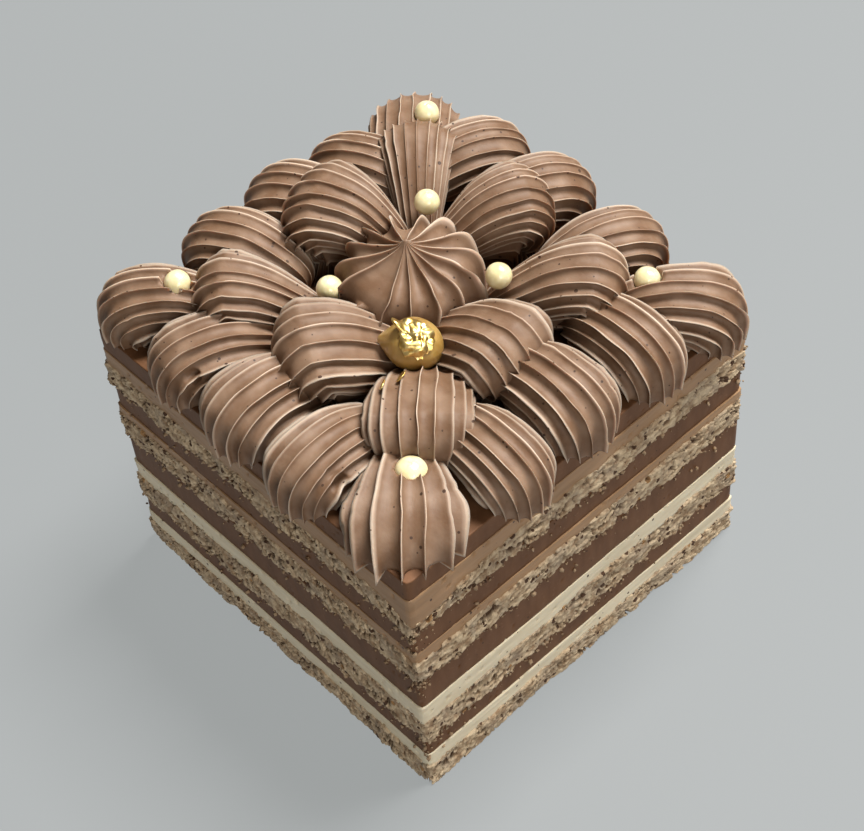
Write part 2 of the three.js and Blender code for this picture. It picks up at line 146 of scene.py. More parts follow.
def closed_rings(rings):
    """Points and faces of a closed skin over rings of points, each ring a row of one array:
    four-sided faces from ring to ring, and a fan of triangles to a middle point at either end."""
    rows, columns = rings.shape[:2]
    points = np.concatenate([rings.reshape(-1, 3), [rings[0].mean(0), rings[-1].mean(0)]])
    here = np.arange(columns)
    following = (here + 1) % columns
    start = np.arange(rows - 1)[:, None] * columns
    quads = np.stack(
        [start + here, start + following, start + columns + following, start + columns + here], -1
    ).reshape(-1, 4)
    last = (rows - 1) * columns
    lower = np.stack([np.full(columns, rows * columns), following, here], -1)
    upper = np.stack([np.full(columns, rows * columns + 1), last + here, last + following], -1)
    return points, quads, np.concatenate([lower, upper])


def smooth_piece(name, material, points, quads, triangles, values=None):
    """A smooth-shaded mesh object of that material from points in mm, riding on the one body, with
    an attribute for each named value."""
    mesh = bpy.data.meshes.new(name)
    mesh.materials.append(material)
    mesh.vertices.add(len(points))
    mesh.vertices.foreach_set("co", (np.asarray(points) * MM).astype(np.float32).ravel())
    corners = np.concatenate([quads.ravel(), triangles.ravel()]).astype(np.int32)
    sizes = np.concatenate([np.full(len(quads), 4), np.full(len(triangles), 3)])
    mesh.loops.add(len(corners))
    mesh.loops.foreach_set("vertex_index", corners)
    mesh.polygons.add(len(sizes))
    mesh.polygons.foreach_set("loop_start", (np.cumsum(sizes) - sizes).astype(np.int32))
    mesh.update(calc_edges=True)
    mesh.validate()
    mesh.shade_smooth()
    for label, value in (values or {}).items():
        attribute = mesh.attributes.new(label, "FLOAT", "POINT")
        padded = np.zeros(len(points), np.float32)
        padded[: value.size] = value.ravel()
        attribute.data.foreach_set("value", padded)
    piece = bpy.data.objects.new(name, mesh)
    bpy.context.scene.collection.objects.link(piece)
    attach(piece, "root")
    return piece


SPONGE_STEPS = 1900
SPONGE_ROWS = 38
SPONGE_PROUD = 0.05
# How far a sponge reaches down and up behind its neighbours, and how far its side falls back there.
SPONGE_UNDER, SPONGE_OVER, SPONGE_FALL = 1.3, 0.7, 1.3
# In mm: height of the large and small grains, how far they differ, the side's swell, and the
# crevices' depth.
BIG_GRAIN, SMALL_GRAIN, UNEVEN_GRAIN = 0.42, 0.2, 0.25
SIDE_SWELL, PORE_CUT = 0.4, 1.1
# How low the noise is where a crevice begins, and where it has its whole depth.
PORE_FROM, PORE_WHOLE = 0.12, 0.42
# The outline of a sponge's flat top and bottom, as shares of its edges.
SPONGE_FLAT = np.array([0.94, 0.94, 1.0])


def sponge_skin(index, seed):
    """Rings up the cut side. Broken grains stand out of it, 1.2 mm and 0.6 mm across and flattened
    level; between them run ragged crevices, where three sizes of value noise add up low. Past a
    ragged line near each edge the side falls back behind the neighbouring layer."""
    x, y, turn = cut_outline(SPONGE_STEPS)
    rise = np.linspace(0, 1, SPONGE_ROWS)[:, None]
    low, high = seam_line(turn, index)[None], seam_line(turn, index + 1)[None]
    under = 0.0 if index == 0 else SPONGE_UNDER
    z = (low - under) * (1 - rise) + (high + SPONGE_OVER) * rise
    turn = turn[None]
    warp = 0.0012 * wander(turn, z / 1.4, 260, seed + 8)
    big, tone = nearest_grain(turn + warp, z / 0.9 + 30, 300, seed)
    small, _ = nearest_grain(turn, z / 0.5, 700, seed + 1)
    crack = 0.5 * wander(turn + warp, z / 1.0, 230, seed + 2)
    crack = crack + 0.35 * wander(turn, z / 0.5, 470, seed + 3)
    crack = crack + 0.3 * wander(turn, z / 0.33, 800, seed + 9)
    pore = ease(-crack, PORE_FROM, PORE_WHOLE)
    relief = BIG_GRAIN * (1 - big**2) + SMALL_GRAIN * (1 - small**2) + UNEVEN_GRAIN * (tone - 0.5)
    relief = relief + SIDE_SWELL * wander(turn, z / 4, 70, seed + 4) - PORE_CUT * pore
    ragged = 0.75 * wander(turn, 0.3, 150, seed + 5) + 0.5 * wander(turn, 0.7, 520, seed + 6)
    foot = z - low + (ragged - 0.15 if index else 9)
    lip = high - z - 0.1 + 0.5 * wander(turn, 0.5, 180, seed + 7)
    lip = lip + 0.4 * wander(turn, 0.5, 600, seed + 10)
    hold = ease(foot, -0.45, 0.25) * ease(lip, -0.4, 0.25)
    out = HALF_SIDE + (SPONGE_PROUD + relief) * hold - SPONGE_FALL * (1 - hold)
    sides = np.stack([x * out, y * out, np.broadcast_to(z, out.shape)], -1)
    rings = np.concatenate([sides[:1] * SPONGE_FLAT, sides, sides[-1:] * SPONGE_FLAT])
    edge = np.zeros((1, SPONGE_STEPS))
    # How far the material paints shade: the depth of the crevices plus the gaps between the large
    # grains.
    pores = np.concatenate([edge, np.clip(pore + 0.35 * ease(big, 0.55, 0.9), 0, 1), edge])
    tones = np.concatenate([edge, tone, edge])
    return rings, pores, tones


def add_node(material, kind, **settings):
    """A shader node of that kind, with its settings and the start values of its inputs."""
    made = material.node_tree.nodes.new(kind)
    for label, value in settings.items():
        if hasattr(made, label):
            setattr(made, label, value)
        else:
            made.inputs[label.replace("_", " ")].default_value = value
    return made


def mix_colours(tree, share, low, high):
    """A colour mix. share, low and high are sockets or plain values. Returns the result."""
    mix = tree.nodes.new("ShaderNodeMix")
    mix.data_type = "RGBA"
    for slot, value in ((0, share), (6, low), (7, high)):
        if isinstance(value, bpy.types.NodeSocket):
            tree.links.new(value, mix.inputs[slot])
        elif isinstance(value, tuple):
            mix.inputs[slot].default_value = (*value, 1)
        else:
            mix.inputs[slot].default_value = value
    return mix.outputs[2]


def tint(tree, base, colour, mask, low, high, most=1.0):
    """The base turned toward a colour as the mask goes from low to high, by the most at high."""
    ranged = tree.nodes.new("ShaderNodeMapRange")
    tree.links.new(mask, ranged.inputs["Value"])
    for label, number in (("From Min", low), ("From Max", high), ("To Max", most)):
        ranged.inputs[label].default_value = number
    return mix_colours(tree, ranged.outputs["Result"], base, colour)


def start_group(name, inputs, outputs):
    """An empty shader node group, with its number inputs, and its outputs by name and type."""
    group = bpy.data.node_groups.new(name, "ShaderNodeTree")
    for label, value in inputs.items():
        socket = group.interface.new_socket(label, in_out="INPUT", socket_type="NodeSocketFloat")
        socket.default_value = value
    for label, kind in outputs.items():
        group.interface.new_socket(label, in_out="OUTPUT", socket_type="NodeSocket" + kind)
    sources, sinks = group.nodes.new("NodeGroupInput"), group.nodes.new("NodeGroupOutput")
    return group, sources.outputs, sinks.inputs


def noise_of(tree, scale, detail=2.0, stretch=None):
    """Noise over Object coordinates at that scale per metre, stretched if asked. Returns Fac."""
    place = tree.nodes.new("ShaderNodeTexCoord").outputs["Object"]
    if stretch:
        mapping = tree.nodes.new("ShaderNodeMapping")
        mapping.inputs["Scale"].default_value = stretch
        tree.links.new(place, mapping.inputs["Vector"])
        place = mapping.outputs["Vector"]
    noise = tree.nodes.new("ShaderNodeTexNoise")
    tree.links.new(place, noise.inputs["Vector"])
    noise.inputs["Detail"].default_value = detail
    noise.inputs["Scale"].default_value = scale
    return noise.outputs["Fac"]


def math_of(tree, operation, first, second):
    """A Math node between two sockets. Returns the result."""
    node = tree.nodes.new("ShaderNodeMath")
    node.operation = operation
    tree.links.new(first, node.inputs[0])
    tree.links.new(second, node.inputs[1])
    return node.outputs["Value"]


# Scattered specks: bits of nut and its skin, as small grains of uneven size, one in each of a
# share of random cells.
specks, specks_in, specks_out = start_group(
    "scattered_specks", {"Per Metre": 500.0, "Size": 0.12, "Share": 0.2}, {"Mask": "Float"}
)
voronoi = specks.nodes.new("ShaderNodeTexVoronoi")
specks.links.new(
    specks.nodes.new("ShaderNodeTexCoord").outputs["Object"], voronoi.inputs["Vector"]
)
specks.links.new(specks_in["Per Metre"], voronoi.inputs["Scale"])
chance = specks.nodes.new("ShaderNodeSeparateColor")
specks.links.new(voronoi.outputs["Color"], chance.inputs["Color"])
reach = math_of(specks, "MULTIPLY", specks_in["Size"], chance.outputs["Green"])
inside = math_of(specks, "LESS_THAN", voronoi.outputs["Distance"], reach)
chosen = math_of(specks, "LESS_THAN", chance.outputs["Red"], specks_in["Share"])
specks.links.new(math_of(specks, "MULTIPLY", inside, chosen), specks_out["Mask"])


def speck_mask(material, per_metre, size, share):
    """The scattered specks in a material, at its own density, size and share. Returns the mask."""
    placed = add_node(
        material, "ShaderNodeGroup", node_tree=specks, Per_Metre=per_metre, Size=size, Share=share
    )
    return placed.outputs["Mask"]


def new_material(name, roughness, **settings):
    """A material with its Principled BSDF, whose constant values are set on its own sockets."""
    material = bpy.data.materials.new(name)
    material.use_nodes = True
    shader = material.node_tree.nodes["Principled BSDF"]
    shader.inputs["Roughness"].default_value = roughness
    for label, value in settings.items():
        shader.inputs[label.replace("_", " ")].default_value = value
    return material, material.node_tree, shader


def finish_surface(tree, shader, colour, height, distance):
    """Feeds the colour, and a bump of that distance in metres, into the shader."""
    bump = tree.nodes.new("ShaderNodeBump")
    bump.inputs["Distance"].default_value = distance
    bump.inputs["Strength"].default_value = 1.0
    tree.links.new(height, bump.inputs["Height"])
    tree.links.new(bump.outputs["Normal"], shader.inputs["Normal"])
    tree.links.new(colour, shader.inputs["Base Color"])


SPONGE_PALE = (0.58, 0.455, 0.30)
SPONGE_TAN = (0.275, 0.175, 0.096)
SPONGE_GREY = (0.31, 0.245, 0.18)
# Near black brown, painted into the pores and between the grains as shade.
PORE_SHADE_COLOUR = (0.075, 0.036, 0.016)
NUT_SKIN = (0.07, 0.032, 0.014)
NUT_BIT = (0.33, 0.18, 0.07)

sponge_material, tree, shader = new_material("hazelnut_sponge", 0.85)
pore_shade_mask = add_node(sponge_material, "ShaderNodeAttribute", attribute_name="pore").outputs["Fac"]
grain_tone = add_node(sponge_material, "ShaderNodeAttribute", attribute_name="tone").outputs["Fac"]
crumb = tint(tree, SPONGE_TAN, SPONGE_PALE, noise_of(tree, 420, 3), 0.35, 0.65)
crumb = tint(tree, crumb, SPONGE_GREY, noise_of(tree, 160, 2), 0.45, 0.62, 0.6)
crumb = tint(tree, crumb, SPONGE_PALE, grain_tone, 0.6, 1.0, 0.65)
crumb = tint(tree, crumb, SPONGE_TAN, grain_tone, 0.3, 0.0, 0.7)
crumb = mix_colours(tree, speck_mask(sponge_material, 640, 0.5, 0.25), crumb, NUT_SKIN)
crumb = mix_colours(tree, speck_mask(sponge_material, 420, 0.5, 0.04), crumb, NUT_BIT)
# Painted shade: the pores and the gaps between the grains are turned toward a near black brown.
crumb = tint(tree, crumb, PORE_SHADE_COLOUR, pore_shade_mask, 0.1, 0.9)
finish_surface(tree, shader, crumb, noise_of(tree, 2600, 3), 0.0002)

for index, name in enumerate(LAYER_NAMES):
    if name.startswith("sponge"):
        rings, pores, tones = sponge_skin(index, 1000 + 10 * index)
        values = {"pore": pores, "tone": tones}
        sponge = smooth_piece("cut_" + name, sponge_material, *closed_rings(rings), values)
        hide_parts(name)

# ------------------------------------------------------------------------ cream
# Four thin spreads of cream, ivory in the lower two layers and tan with hazelnut paste in the upper
# two. Each is spread over its sponge and drawn out flat, and the knife leaves it smooth, with
# faint level drag lines and a few burst bubbles.

SOFT_STEPS = 800
SOFT_FLAT = np.array([0.95, 0.95, 1.0])
CREAM_ROWS = 14
CREAM_PROUD = 0.15
CREAM_TUCK = 0.9
IVORY, IVORY_DEEP = (0.72, 0.63, 0.46), (0.61, 0.515, 0.355)
TAN, TAN_DEEP = (0.35, 0.207, 0.107), (0.265, 0.152, 0.073)


def soft_side(index, rows, proud, relief, tuck_low, tuck_high):
    """Rings up a smooth cut side, from seam to seam and on so far behind the layers under and over
    it. relief gives the height of the knife's marks from the turn and the height."""
    x, y, turn = cut_outline(SOFT_STEPS)
    rise = np.linspace(0, 1, rows)[:, None]
    low = seam_line(turn, index)[None] - tuck_low
    high = seam_line(turn, index + 1)[None] + tuck_high
    z = low * (1 - rise) + high * rise
    out = HALF_SIDE + proud + relief(turn[None], z)
    sides = np.stack([x * out, y * out, np.broadcast_to(z, out.shape)], -1)
    return np.concatenate([sides[:1] * SOFT_FLAT, sides, sides[-1:] * SOFT_FLAT])


def cream_marks(turn, z):
    """Relief in mm: level drag lines, a slow bulge, and sparse burst bubbles up to 0.8 mm wide."""
    drag = 0.06 * wander(turn, z / 0.42, 48, 31) + 0.04 * wander(turn, z / 0.3, 160, 32)
    bubble, size = nearest_grain(turn, z / 2.4, 160, 33)
    burst = ease(0.2 * ease(size, 0.7, 1.0) - bubble, -0.05, 0.05)
    return drag + 0.15 * wander(turn, z / 6, 30, 34) - 0.5 * burst


def cream_material(name, pale, deep):
    """Smooth cream: slow clouds between two colours, streaked level by the knife."""
    material, tree, shader = new_material(
        name, 0.5,
        Subsurface_Weight=0.15, Subsurface_Radius=(1.0, 0.7, 0.45), Subsurface_Scale=0.0012,
    )
    streak = noise_of(tree, 260, 3, (0.25, 0.25, 2.2))
    cloud = noise_of(tree, 60, 2)
    colour = tint(tree, deep, pale, streak, 0.3, 0.7)
    colour = tint(tree, colour, pale, cloud, 0.35, 0.7, 0.5)
    colour = mix_colours(tree, speck_mask(material, 520, 0.2, 0.1), colour, NUT_SKIN)
    finish_surface(tree, shader, colour, streak, 0.00012)
    return material


ivory_cream = cream_material("ivory_cream", IVORY, IVORY_DEEP)
hazelnut_cream = cream_material("hazelnut_cream", TAN, TAN_DEEP)

for index, name in enumerate(LAYER_NAMES):
    if name.startswith("cream"):
        rings = soft_side(index, CREAM_ROWS, CREAM_PROUD, cream_marks, CREAM_TUCK, 0.0)
        tan = name in ("cream_3", "cream_4")
        material = hazelnut_cream if tan else ivory_cream
        cream = smooth_piece("cut_" + name, material, *closed_rings(rings))
        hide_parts(name)

# ---------------------------------------------------------------------- ganache
# Four layers of chocolate ganache, poured and set hard enough to cut clean. The knife leaves it
# smooth and a little hollow, with faint upright strokes. The top layer shows between the shells.

GANACHE_ROWS = 16
GANACHE_PROUD = -0.05
GANACHE_TUCK = 1.0
GANACHE, GANACHE_WARM = (0.110, 0.048, 0.020), (0.150, 0.069, 0.031)
GANACHE_SCRAPED, GANACHE_SPECK = (0.24, 0.125, 0.075), (0.05, 0.024, 0.013)
# The top of the last layer, in rings inwards from its rim, and its slow swell in mm.
TOP_ROWS = 30
TOP_RIM, TOP_MIDDLE = 0.995, 0.03
TOP_SWELL = 0.12


def ganache_marks(turn, z):
    """Relief in mm: faint upright strokes that lean a little, a slow hollow, and pinholes."""
    stroke = 0.035 * wander(turn + z * 0.0006, z / 4.5, 640, 41)
    stroke = stroke + 0.02 * wander(turn, z / 1.2, 300, 42)
    pinhole, size = nearest_grain(turn, z / 2.0, 200, 43)
    hole = ease(0.13 * ease(size, 0.75, 1.0) - pinhole, -0.03, 0.03)
    return stroke + 0.1 * wander(turn, z / 7, 26, 44) - 0.3 * hole


ganache_material, tree, shader = new_material("chocolate_ganache", 0.55, Specular_IOR_Level=0.2)
stroke = noise_of(tree, 300, 3, (1.0, 1.0, 0.3))
choc = tint(tree, GANACHE, GANACHE_WARM, stroke, 0.3, 0.7)
choc = tint(tree, choc, GANACHE_SCRAPED, noise_of(tree, 900, 2), 0.62, 0.75, 0.35)
choc = mix_colours(tree, speck_mask(ganache_material, 600, 0.16, 0.12), choc, GANACHE_SPECK)
finish_surface(tree, shader, choc, stroke, 0.00006)

for index, name in enumerate(LAYER_NAMES):
    if name.startswith("ganache"):
        top = index == len(LAYER_NAMES) - 1
        tuck = 0.0 if top else GANACHE_TUCK
        rings = soft_side(index, GANACHE_ROWS, GANACHE_PROUD, ganache_marks, 0.0, tuck)
        if top:
            inwards = np.linspace(TOP_RIM, TOP_MIDDLE, TOP_ROWS)[:, None, None]
            rim = rings[-2][None] * np.array([1.0, 1.0, 0.0])
            sheet = rim * inwards
            swell = TOP_SWELL * wander(sheet[..., 0] / 90 + 0.6, sheet[..., 1] / 9 + 20, 10, 45)
            sheet[..., 2] = seam_height(index + 1) + swell * (1 - inwards[..., 0]) ** 0.3
            rings = np.concatenate([rings[:-1], sheet])
        ganache = smooth_piece("cut_" + name, ganache_material, *closed_rings(rings))
        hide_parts(name)

# ----------------------------------------------------------------- piped shells
# Twenty-four shells of chocolate buttercream, each squeezed from a fine star nozzle: the cream
# wells up at the foot, rolls over, and is drawn back into a tail. The nozzle's teeth leave thin
# fins with wide smooth valleys between them, which fan out from the hinge the shell turns on.

CAKE_TOP = seam_height(len(LAYER_NAMES))
# Turns of the section in degrees: a little under flat on a raised shell, and lying back.
BACK_TURN = -32.0
FULL_TURN = 172.0
SWEEP_ROWS = 88
# A fin's height as a share of the section, the share of it that is the thin lip, the lip's width
# in half pitches, and the power that the rounded valley rises by.
FIN_DEPTH = 0.21
LIP = 0.46
LIP_THIN = 0.09
VALLEY_POWER = 2.2
# The power of the front's outline, and how square the section's far half is.
FRONT_POWER = 2.15
SQUARED, SQUARED_FROM = 0.45, 0.5
# The share by which the section shrinks under flat, and how many times wider a stalk's foot is.
BACK_SHRINK = 0.36
STALK_WIDE = 1.42
# The tuck under the front ends between these turns, and the tail is drawn from this turn on.
TUCK_TURNS = (-10, 45)
DRAWN_FROM = 60
# The hem of a shell on the cake ends at this turn. Its fins spread, and it sags past the edge.
HEM_TURN = 26
HEM_SHALLOW, HEM_PULL, HEM_SAG = 0.45, 0.2, 0.25
# Behind the top, the section's length as a share of the height at each turn, and what a whole waist
# takes off it. Then the width as a share of the whole, and what a whole waist takes off that.
LENGTH_TURNS = [90, 105, 120, 150, FULL_TURN]
LENGTH_BEHIND = np.array([1, 0.98, 0.94, 0.8, 0.42])
LENGTH_WAIST = np.array([0, 0.03, 0.1, 0.28, 0.3])
WIDTH_TURNS = [-35, 0, 35, 75, 105, 135, FULL_TURN]
WIDTH_ALONG = np.array([0.85, 0.97, 1.0, 0.98, 0.92, 0.75, 0.32])
WIDTH_WAIST = np.array([0, 0, 0, 0.22, 0.42, 0.45, 0])
# Places across one tooth, in half pitches from its crest: close together on the thin fin.
TOOTH_PLACES = np.array([-1, -0.72, -0.46, -0.27, -0.14, -0.06, 0, 0.06, 0.14, 0.27, 0.46, 0.72])

# A kind of shell: its number of teeth, how far its front is lifted off the cake and its hinge lies
# behind the foot, the share tucked under in front, the fullness of its neck (1 has no waist), the
# flare of its fins at the hem, how far the tail reaches and the power it is drawn by, the height
# of its fins, and how much they bunch toward the hinge. Lengths are in mm.
EDGE_SHELL = {
    "teeth": 18, "lift": 0.0, "back": 5.0, "tuck": 0.18, "neck": 1.0, "flare": 0.5,
    "tail": 17, "steep": 1.7, "fins": 1.0, "bunch": 0.03,
}
CORNER_SHELL = {**EDGE_SHELL, "tail": 21}
INNER_SHELL = {**EDGE_SHELL, "lift": 6.5, "tail": 18, "steep": 2.4}
INNER_CORNER = {**INNER_SHELL, "tail": 22}
FAR_EDGE = {**EDGE_SHELL, "fins": 0.75}
# Each shell's foot in mm, the way it points in degrees from +X, its reach, width and height in mm,
# its kind, and what differs from that.
SHELLS = {
    "inner_shell_front_right": (
        30.0, -26.9, -45, 9.3, 23.5, 17.1,
        INNER_CORNER | {"tail": 17, "steep": 1.0, "bunch": -0.05},
    ),
    "inner_shell_front": (-1.5, -28.2, -120, 9.9, 27.3, 19.0, INNER_SHELL),
    "inner_shell_right": (27.4, -0.4, 5, 9.9, 25.0, 18.9, INNER_SHELL),
    "inner_shell_front_left": (-28.4, -28.7, -135, 9.2, 22.5, 18.1, INNER_CORNER | {"neck": 0.7}),
    "inner_shell_back_right": (
        26.3, 26.2, 45, 10.1, 22.6, 19.5, INNER_CORNER | {"neck": 0.7, "fins": 0.8}
    ),
    "inner_shell_left": (
        -32.9, 2.4, -155, 10.4, 28.0, 20.4,
        INNER_SHELL | {"teeth": 21, "neck": 0.4, "fins": 0.8, "back": 7, "tail": 19},
    ),
    "inner_shell_back": (
        -1.8, 32.6, 65, 9.5, 24.2, 19.8, INNER_SHELL | {"teeth": 21, "neck": 0.5, "fins": 0.75}
    ),
    "inner_shell_back_left": (
        -32.3, 31.1, 135, 9.4, 19.8, 18.2, INNER_CORNER | {"teeth": 21, "neck": 0.6, "fins": 0.6}
    ),
    "corner_shell_front_right": (
        38.3, -39.3, -45, 14.4, 26.4, 11.2,
        CORNER_SHELL
        | {"neck": 0.2, "tail": 18, "flare": 2.0, "teeth": 15, "tuck": 0.05, "fins": 1.35},
    ),
    "edge_shell_front_3": (18.5, -46.7, -90, 10.6, 19.9, 12.7, EDGE_SHELL),
    "edge_shell_right_1": (47.2, -19.0, 0, 11.0, 18.6, 13.1, EDGE_SHELL),
    "edge_shell_front_2": (-2.1, -46.2, -93, 10.0, 22.6, 13.5, EDGE_SHELL),
    "edge_shell_right_2": (45.3, 0.8, 0, 11.0, 21.0, 15.0, EDGE_SHELL),
    "edge_shell_front_1": (-22.6, -45.0, -112, 10.2, 21.0, 13.5, EDGE_SHELL),
    "edge_shell_right_3": (45.4, 21.3, 0, 11.1, 19.2, 14.4, EDGE_SHELL),
    "corner_shell_front_left": (-43.5, -41.4, -135, 11.9, 20.7, 13.9, CORNER_SHELL | {"neck": 0.6}),
    "corner_shell_back_right": (45.2, 40.0, 45, 12.0, 23.2, 13.9, CORNER_SHELL | {"neck": 0.6}),
    "edge_shell_left_1": (-44.7, -17.8, -157, 10.6, 20.2, 14.8, FAR_EDGE),
    "edge_shell_back_3": (20.6, 43.9, 67, 10.7, 19.6, 13.9, FAR_EDGE),
    "edge_shell_left_2": (-46.0, 1.5, -157, 10.7, 20.9, 15.2, FAR_EDGE),
    "edge_shell_back_2": (-2.4, 45.4, 67, 10.7, 19.7, 15.3, FAR_EDGE),
    "edge_shell_left_3": (-45.0, 19.3, -157, 10.8, 18.6, 13.7, FAR_EDGE),
    "edge_shell_back_1": (-22.7, 45.3, 67, 10.6, 20.0, 14.2, FAR_EDGE),
    "corner_shell_back_left": (
        -42.8, 39.6, 135, 11.9, 22.6, 14.3, CORNER_SHELL | {"teeth": 21, "fins": 0.55}
    ),
}
# Each pearl, and the hazelnut, presses its own hollow in the shells round it, this gap wider.
PRESSED_IN = [f"pearl_{number}" for number in range(1, 8)] + ["hazelnut"]
PRESS_GAP = 0.15


def smooth_table(at, places, values):
    """Values read between places along a smooth cubic that passes through each of them."""
    places, values = np.asarray(places, float), np.asarray(values, float)
    steps = np.diff(values) / np.diff(places)
    slopes = np.concatenate([steps[:1], (steps[:-1] + steps[1:]) / 2, steps[-1:]])
    k = np.clip(np.searchsorted(places, at, side="right") - 1, 0, len(places) - 2)
    width = places[k + 1] - places[k]
    t = (at - places[k]) / width
    bend = t * (1 - t) * width * ((1 - t) * (slopes[k] - steps[k]) - t * (slopes[k + 1] - steps[k]))
    return values[k] + steps[k] * (at - places[k]) + bend


def fin_profile(teeth, seed, bunch=0.0):
    """Angles round the nozzle's section and, at each, how much of a fin stands there: 1 on a crest
    and 0 in mid valley. A valley is a round flute, and where two meet a thin lip stands up. No two
    teeth are quite alike. bunch draws them from the far edge of the section toward its hinge.
    Also the tooth that each angle belongs to."""
    rng = np.random.default_rng(seed)
    inside = 1 - np.abs(TOOTH_PLACES)
    lip = np.exp(-((TOOTH_PLACES / LIP_THIN) ** 2))
    shape = (1 - LIP) * inside**VALLEY_POWER + LIP * lip
    tooth = np.arange(teeth)[:, None]
    shift = rng.normal(0, 0.10, (teeth, 1)) * inside
    angle = (2 * tooth + TOOTH_PLACES + shift) * np.pi / teeth
    angle = angle + bunch * np.sin(angle)
    fin = shape * rng.uniform(0.8, 1.12, (teeth, 1))
    return angle.ravel(), fin.ravel(), np.repeat(np.arange(teeth), len(TOOTH_PLACES))


def middle_and_half(name):
    """Middle and half size of a node's box, in mm."""
    low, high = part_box(name)
    return np.array((low + high) / 2) / MM, np.array((high - low) / 2) / MM


def press_in(points):
    """The points pressed down under each pearl and the nut, to the lower half of its surface."""
    points = points.copy()
    for name in PRESSED_IN:
        middle, half = middle_and_half(name)
        half = half + PRESS_GAP
        aside = np.hypot(*np.moveaxis((points - middle)[..., :2] / half[:2], -1, 0))
        under = middle[2] - half[2] * np.sqrt(np.clip(1 - aside**2, 0, 1))
        points[..., 2] = np.where(aside < 1, np.minimum(points[..., 2], under), points[..., 2])
    return points


# Open curls, where the cream folded over itself: on which shell, where, and how wide.
CURL_HOLES = {
    "edge_shell_front_1": (-15.7, -48.3, 81.3, 2.0),
    "corner_shell_front_left": (-33.7, -45.8, 82.7, 2.0),
    "edge_shell_front_3": (26.5, -45.5, 80.0, 2.4),
    "inner_shell_left": (-25.6, -6.8, 78.6, 2.4),
}
CURL_DEPTH = 2.2


def sink_curl(points, hole):
    """The points near an open curl, drawn in toward the shell's middle, most at its centre."""
    spot, wide = np.array(hole[:3]), hole[3]
    inwards = points.reshape(-1, 3).mean(0) - spot
    inwards = inwards / np.linalg.norm(inwards)
    far = np.linalg.norm(points - spot, axis=-1, keepdims=True) / wide
    return points + inwards * CURL_DEPTH * np.clip(1 - far**2, 0, 1) ** 1.5


def shell_rings(x, y, aim, reach, width, height, shape, seed):
    """Rings of a shell. The nozzle's section, an oval with fins, turns about a hinge line from
    lying flat on the cake, or a little under flat on a raised shell, to lying back. Its length
    follows a superellipse from reach to height, then falls away, while the hinge moves back as the
    tail is drawn. Crests waver along their length, tear in places, and spread at the foot. A
    raised shell stands on a stalk straight down from its first ring."""
    rng = np.random.default_rng(seed)
    teeth, lift, waist = shape["teeth"], shape["lift"], 1 - shape["neck"]
    degrees = np.linspace(BACK_TURN if lift else 0.0, FULL_TURN, SWEEP_ROWS)[:, None]
    lean = np.radians(degrees)
    angle, fin, tooth = fin_profile(teeth, seed, shape["bunch"])
    longest, tallest = reach + shape["back"], height - lift
    front = (np.abs(np.cos(lean)) / longest) ** FRONT_POWER
    front = front + (np.abs(np.sin(lean)) / tallest) ** FRONT_POWER
    behind = smooth_table(
        np.clip(degrees, 90, FULL_TURN), LENGTH_TURNS, LENGTH_BEHIND - LENGTH_WAIST * waist
    )
    length = np.where(degrees <= 90, front ** (-1 / FRONT_POWER), tallest * behind)
    under_flat = longest * (1 - BACK_SHRINK * (degrees / BACK_TURN) ** 2)
    length = np.where(degrees < 0, under_flat, length)
    lateral = width / 2 * smooth_table(degrees, WIDTH_TURNS, WIDTH_ALONG - WIDTH_WAIST * waist)
    tuck = 1 - shape["tuck"] * (1 - ease(degrees, *TUCK_TURNS))
    drawn = np.clip((degrees - DRAWN_FROM) / (FULL_TURN - DRAWN_FROM), 0, 1)
    pulled = (shape["tail"] - shape["back"] - tallest * 0.12) * drawn ** shape["steep"]
    hinge = -shape["back"] - pulled
    veer = rng.normal(0, 1.0) * drawn**1.5
    along = degrees / 180
    waver = wander(tooth / teeth, along * 9 + seed, teeth, seed + 1)
    nick = wander(tooth / teeth, along * 22 + seed, teeth, seed + 2)
    torn = ease(wander(tooth / teeth, along * 3 + seed, teeth, seed + 3), 0.15, 0.7)
    torn = torn * nick * np.abs(nick)
    # How much of a crest stands at each point. It also marks where the material paints a highlight
    # along the fins.
    crest = fin**1.5 * ease(np.cos(angle), -1.0, -0.85)
    crest = np.broadcast_to(crest, (SWEEP_ROWS, len(angle)))
    hem = np.zeros_like(lean) if lift else np.clip(1 - degrees / HEM_TURN, 0, 1) ** 2
    shallow = (0.5 + 0.5 * ease(np.cos(angle), -1.0, -0.5)) * (1 - HEM_SHALLOW * hem)
    depth = FIN_DEPTH * shape["fins"] * shallow * (1 - fin * (1 + 0.08 * waver + 0.12 * torn))
    bent = angle + crest * (0.03 * waver + 0.02 * torn)
    swell = 1 + 0.012 * wander(angle / 2 / np.pi, along * 4 + seed, 5, seed + 4) - depth
    up = length / 2 * tuck * (1 + np.cos(bent) * swell) + 0.3
    side = np.sin(bent)
    squared = 1 - SQUARED * ease(-np.cos(angle), 0.0, SQUARED_FROM)
    across = lateral * tuck * np.sign(side) * np.abs(side) ** squared * swell + veer
    outer = ease(np.cos(angle), -0.2, 0.5)
    up = up + hem * outer * (shape["flare"] * crest - HEM_PULL)
    forward = hinge + up * np.cos(lean)
    z = lift * (1 - drawn) * ease(np.cos(angle), -1.0, -0.55) + up * np.sin(lean)
    turn = np.radians(aim)
    px = x + forward * np.cos(turn) - across * np.sin(turn)
    py = y + forward * np.sin(turn) + across * np.cos(turn)
    if lift:
        middle_x, middle_y = px[0].mean(), py[0].mean()
        px = np.concatenate([middle_x + (px[:1] - middle_x) * STALK_WIDE, px])
        py = np.concatenate([middle_y + (py[:1] - middle_y) * STALK_WIDE, py])
        z = np.concatenate([np.zeros_like(z[:1]), z])
        crest = np.concatenate([crest[:1], crest])
    over = np.clip(np.maximum(np.abs(px), np.abs(py)) - HALF_SIDE, 0, 9)
    z = np.maximum(z, 0) - (0 if lift else hem * HEM_SAG * over)
    return press_in(np.stack([px, py, CAKE_TOP + z], -1)), crest


